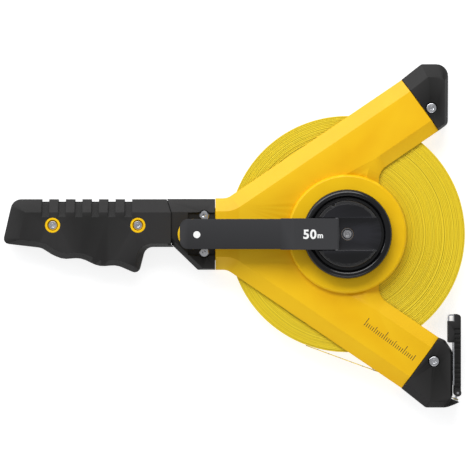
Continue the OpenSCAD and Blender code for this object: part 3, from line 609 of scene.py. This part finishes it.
def coil_rings(side_z, inwards):
    """Rings from the drum to the rim on one face of the coil: [radius, height at each step]."""
    count = int((COIL_R - CORE_R) / BUNDLE)
    pitch = (COIL_R - CORE_R) / count
    rings = []
    for i, (sink, wave, waves, phase) in enumerate(bundle_heights(count)):
        for share, extra in ((0.0, VALLEY), (0.14, 0.08 * MM), (0.3, 0), (0.8, 0), (0.93, 0.1 * MM)):
            heights = []
            for step in range(COIL_STEPS):
                angle = math.tau * step / COIL_STEPS
                depth = sink + extra + wave * (0.5 + 0.5 * math.sin(waves * angle + phase))
                heights.append(side_z + inwards * depth)
            rings.append((CORE_R + pitch * (i + share), heights))
    rings.append((COIL_R - 0.05 * MM, [side_z + inwards * SINK_MOST] * COIL_STEPS))
    return rings


def wound_coil():
    front = coil_rings(TAPE_FRONT_Z, -1)
    back = coil_rings(TAPE_BACK_Z, 1)
    rims = [(COIL_R, [z] * COIL_STEPS) for z in (TAPE_FRONT_Z - MM, TAPE_BACK_Z + MM)]
    rings = front + rims + back[::-1]
    points = []
    for radius, heights in rings:
        for step, z in enumerate(heights):
            angle = math.tau * step / COIL_STEPS
            points.append((radius * math.cos(angle), radius * math.sin(angle), z))
    faces = []
    for k in range(len(rings)):
        a, b = k * COIL_STEPS, (k + 1) % len(rings) * COIL_STEPS
        for s in range(COIL_STEPS):
            t = (s + 1) % COIL_STEPS
            faces.append((a + s, b + s, b + t, a + t))
    piece = mesh_piece("wound_tape_coil", points, faces)
    bm = bmesh.new()
    bm.from_mesh(piece.data)
    bmesh.ops.recalc_face_normals(bm, faces=bm.faces)
    bm.to_mesh(piece.data)
    bm.free()
    piece.data.shade_smooth()
    piece.data.set_sharp_from_angle(angle=math.radians(50))
    return link_piece(piece, "reel", tape_edges, ("tape_coil",))


coil = wound_coil()
paint_nodes(tape_face, "tape_lead", "tape_tongue")
print("coil faces", len(coil.data.polygons))

# %% [markdown]
# ## The crank hub
#
# The hub is a polished moulding with a round rim, a deep groove and a raised centre. The arm folds
# into the channel across that centre, and the axle's screw shows at its bottom.

# %% Crank hub
crisp_copy("crank_hub_rim", "crank_hub", hub_plastic)
softened("axle_end_screw", "axle_screw", 0.25, zinc_steel)
paint_nodes(zinc_steel, "axle", "axle_washer", "fold_pin", "hub_screws", "planet_carrier")

# %% [markdown]
# ## The crank arm and what is printed on it
#
# The arm is a flat bar with a step, so that its outer part lies lower. The length of the tape is
# printed near the hub, and a plain dot marks the knob's end. Lettering is a text object turned into
# a mesh that stands a hundredth of a millimetre proud, about the thickness of real ink.

# %% Crank arm
INK = 0.012 * MM
DOT_R = 2.9 * MM
DIGITS_WIDTH = 11 * MM
DIGITS_X = -31.6 * MM
DIGITS_Y = -0.2 * MM
UNIT_WIDTH = 4.6 * MM
UNIT_X = -22.9 * MM
UNIT_Y = -1.8 * MM
DOT_X = -126 * MM
DOT_Y = -0.5 * MM
STUD_HEAD = 1.2 * MM
LETTER_WEIGHT = 0.03
LETTER_SPACE = 1.12

crisp_copy("crank_arm_bar", "crank_arm", arm_plastic)


def lettering(name, text, width, centre, body, finish):
    """Flat letters of a given total width, centred on a point."""
    curve = bpy.data.curves.new(name, "FONT")
    curve.body = text
    curve.extrude = 1
    curve.offset = LETTER_WEIGHT
    curve.space_character = LETTER_SPACE
    draft = bpy.data.objects.new(name + "_draft", curve)
    bpy.context.scene.collection.objects.link(draft)
    bpy.context.view_layer.update()
    mesh = bpy.data.meshes.new_from_object(draft.evaluated_get(bpy.context.evaluated_depsgraph_get()))
    bpy.data.objects.remove(draft)
    xs = [v.co.x for v in mesh.vertices]
    ys = [v.co.y for v in mesh.vertices]
    scale = width / (max(xs) - min(xs))
    middle = Vector(((max(xs) + min(xs)) / 2, (max(ys) + min(ys)) / 2, 0))
    for v in mesh.vertices:
        flat = (v.co - middle) * scale
        v.co = Vector(centre) + Vector((flat.x, flat.y, INK * (1 if v.co.z > 0 else -1)))
    piece = bpy.data.objects.new(name, mesh)
    return link_piece(piece, body, finish)


def flat_disc(name, centre, radius, finish, body, steps=64):
    """A film of ink in the shape of a disc."""
    angles = [math.tau * i / steps for i in range(steps)]
    points = [
        (centre[0] + radius * math.cos(a), centre[1] + radius * math.sin(a), centre[2] + z)
        for z in (-INK, INK) for a in angles]
    faces = [tuple(range(steps, 2 * steps)), tuple(range(steps - 1, -1, -1))]
    faces += [(i, (i + 1) % steps, steps + (i + 1) % steps, steps + i) for i in range(steps)]
    piece = mesh_piece(name, points, faces)
    return link_piece(piece, body, finish)


ARM_TIP_Z = high("knob_stud").z + STUD_HEAD
lettering("length_digits", "50", DIGITS_WIDTH, (DIGITS_X, DIGITS_Y, ARM_TOP_Z), "arm", white_ink)
lettering("length_unit", "m", UNIT_WIDTH, (UNIT_X, UNIT_Y, ARM_TOP_Z), "arm", white_ink)
flat_disc("white_dot", (DOT_X, DOT_Y, ARM_TIP_Z), DOT_R, white_ink, "arm")
print("outer part of the arm at", round(ARM_TIP_Z / MM, 2), "mm")

# %% [markdown]
# ## The knob
#
# The knob is a turned shape with a waist, held on its stud by a flat screw from below. It is mostly
# under the arm, and only a thin crescent of it shows past the arm's end.

# %% Knob
softened("crank_knob_turned", "crank_knob", 0.5, cover_yellow, 3, 40)
softened("knob_retaining_screw", "knob_screw", 0.3, zinc_steel)
paint_nodes(zinc_steel, "knob_stud")

# %% [markdown]
# ## The handle
#
# Two black shells close round a yellow tang. Six grooves on the back and hollows on the front keep
# the hand from slipping. The two screws stand in yellow sleeves of the tang, which show as rings.

# %% Handle
crisp_copy("grip_shell_front", "grip_front", black_plastic)
crisp_copy("grip_shell_rear", "grip_rear", black_plastic)
softened("handle_tang", "handle_core", 0.15, cover_yellow, 3)
softened("handle_screw_pair", "handle_screws", 0.2, bright_steel)
softened("handle_nut_pair", "handle_nuts", 0.2, zinc_steel)

# %% [markdown]
# ## The neck covers
#
# Two black shells hide the joint between frame and handle. The front one has a shallow dish that the
# crank arm lies over, with a screw in each of its corners.

# %% Neck covers
crisp_copy("neck_shell_front", "neck_cover_front", black_plastic)
crisp_copy("neck_shell_rear", "neck_cover_rear", black_plastic)
crisp_copy("neck_screw_pair", "neck_screws", bright_steel)

# %% [markdown]
# ## The lip inside the joint, and the neck nuts
#
# Neck cover and grip stand a little apart. A rib inside would hide the frame that shows through the
# gap, and the lip here does the same: a closed black bar with the shells' outline, a little smaller,
# that fills the joint from inside. The nuts at the back hold the neck screws, and with them both
# neck covers.

# %% Joint lip and neck nuts
LIP_BEHIND = 5.5 * MM
LIP_AHEAD = 3 * MM
JOINT_SET_BACK = 3.4 * MM
REEL_MIDDLE_Z = 15
LIP_CORNERS = [(-7.6, 22.4), (-5, 26.8), (17.8, 27.2), (27.9, 21.6)]


def joint_lip():
    joint_x = low("neck_cover_front").x + JOINT_SET_BACK
    section = LIP_CORNERS + [(y, 2 * REEL_MIDDLE_Z - z) for y, z in LIP_CORNERS[::-1]]
    count = len(section)
    points = [(x, y * MM, z * MM) for x in (joint_x - LIP_BEHIND, joint_x + LIP_AHEAD) for y, z in section]
    faces = [tuple(range(count)), tuple(range(2 * count - 1, count - 1, -1))]
    faces += [(i, i + count, (i + 1) % count + count, (i + 1) % count) for i in range(count)]
    return link_piece(mesh_piece("joint_lip", points, faces), "frame", black_plastic)


lip = joint_lip()
softened("neck_nut_pair", "neck_nuts", 0.2, zinc_steel)
print("joint lip faces", len(lip.data.polygons))

# %% [markdown]
# ## The arm end caps and the tape's mouth
#
# Black caps close the ends of both arms. The lower one is also the mouth: the tape leaves between
# its halves, over a pointed lip that wipes off dirt.

# %% End caps
for part in ("front", "rear"):
    crisp_copy("upper_cap_" + part, "end_cap_" + part, black_plastic)
    crisp_copy("mouth_cap_" + part + "_shell", "mouth_cap_" + part, black_plastic)
softened("cap_screw_pair", "cap_screws", 0.25, bright_steel)
softened("cap_nut_pair", "cap_nuts", 0.2, zinc_steel)
paint_nodes(zinc_steel, "guide_pins")

# %% [markdown]
# ## The end bow
#
# A steel clamp holds the tape's end and carries the bow. The bow is a steel strip with a hooked nose
# inside a ribbed black grip, and folds along the mouth.

# %% End bow
crisp_copy("bow_grip_shell", "bow_grip", black_plastic)
crisp_copy("bow_strip", "bow_hook", bright_steel)
softened("tape_end_clamp", "tape_end_fitting", 0.2, bright_steel)
paint_nodes(zinc_steel, "bow_pin")

# %% [markdown]
# ## Marks on the lower arm
#
# A plain row of measuring ticks stands on the lower arm, printed in black like the marks of a rule.
# The row follows the middle of the arm.

# %% Measuring ticks
TICK_COUNT = 26
TICK_PITCH = 2 * MM
TICK_WIDTH = 0.55 * MM
TICK_START = Vector((14, -76.5)) * MM
ARM_ANGLE = math.radians(-36.2)


def tick_row():
    along = Vector((math.cos(ARM_ANGLE), math.sin(ARM_ANGLE)))
    across = Vector((-along.y, along.x))
    points, faces = [], []
    for i in range(TICK_COUNT):
        length = (7.5 if i % 10 == 0 else 5.5 if i % 5 == 0 else 3.6) * MM
        foot = TICK_START + along * TICK_PITCH * i
        first = len(points)
        for z in (FLAT_Z - INK, FLAT_Z + INK):
            for u, v in ((0, 0), (TICK_WIDTH, 0), (TICK_WIDTH, length), (0, length)):
                spot = foot + along * u + across * v
                points.append((spot.x, spot.y, z))
        for quad in ((3, 2, 1, 0), (4, 5, 6, 7), (0, 1, 5, 4), (1, 2, 6, 5), (2, 3, 7, 6), (3, 0, 4, 7)):
            faces.append(tuple(first + q for q in quad))
    piece = mesh_piece("measuring_ticks", points, faces)
    return link_piece(piece, "frame", black_ink)


tick_row()
print("ticks", TICK_COUNT)

# %% [markdown]
# ## What is inside
#
# The gears, bushes, drum and clip show only between the frame halves or when the reel is taken
# apart. Their shape in the mechanical model is right, so they only get their finish.

# %% Inner parts
paint_nodes(gear_nylon, "ring_gear", "sun_gear", "planet_gear_1", "planet_gear_2", "planet_gear_3")
paint_nodes(bronze, "reel_bushings", "crank_bushing")
paint_nodes(zinc_steel, "tape_clip")
paint_nodes(black_plastic, "reel_drum")
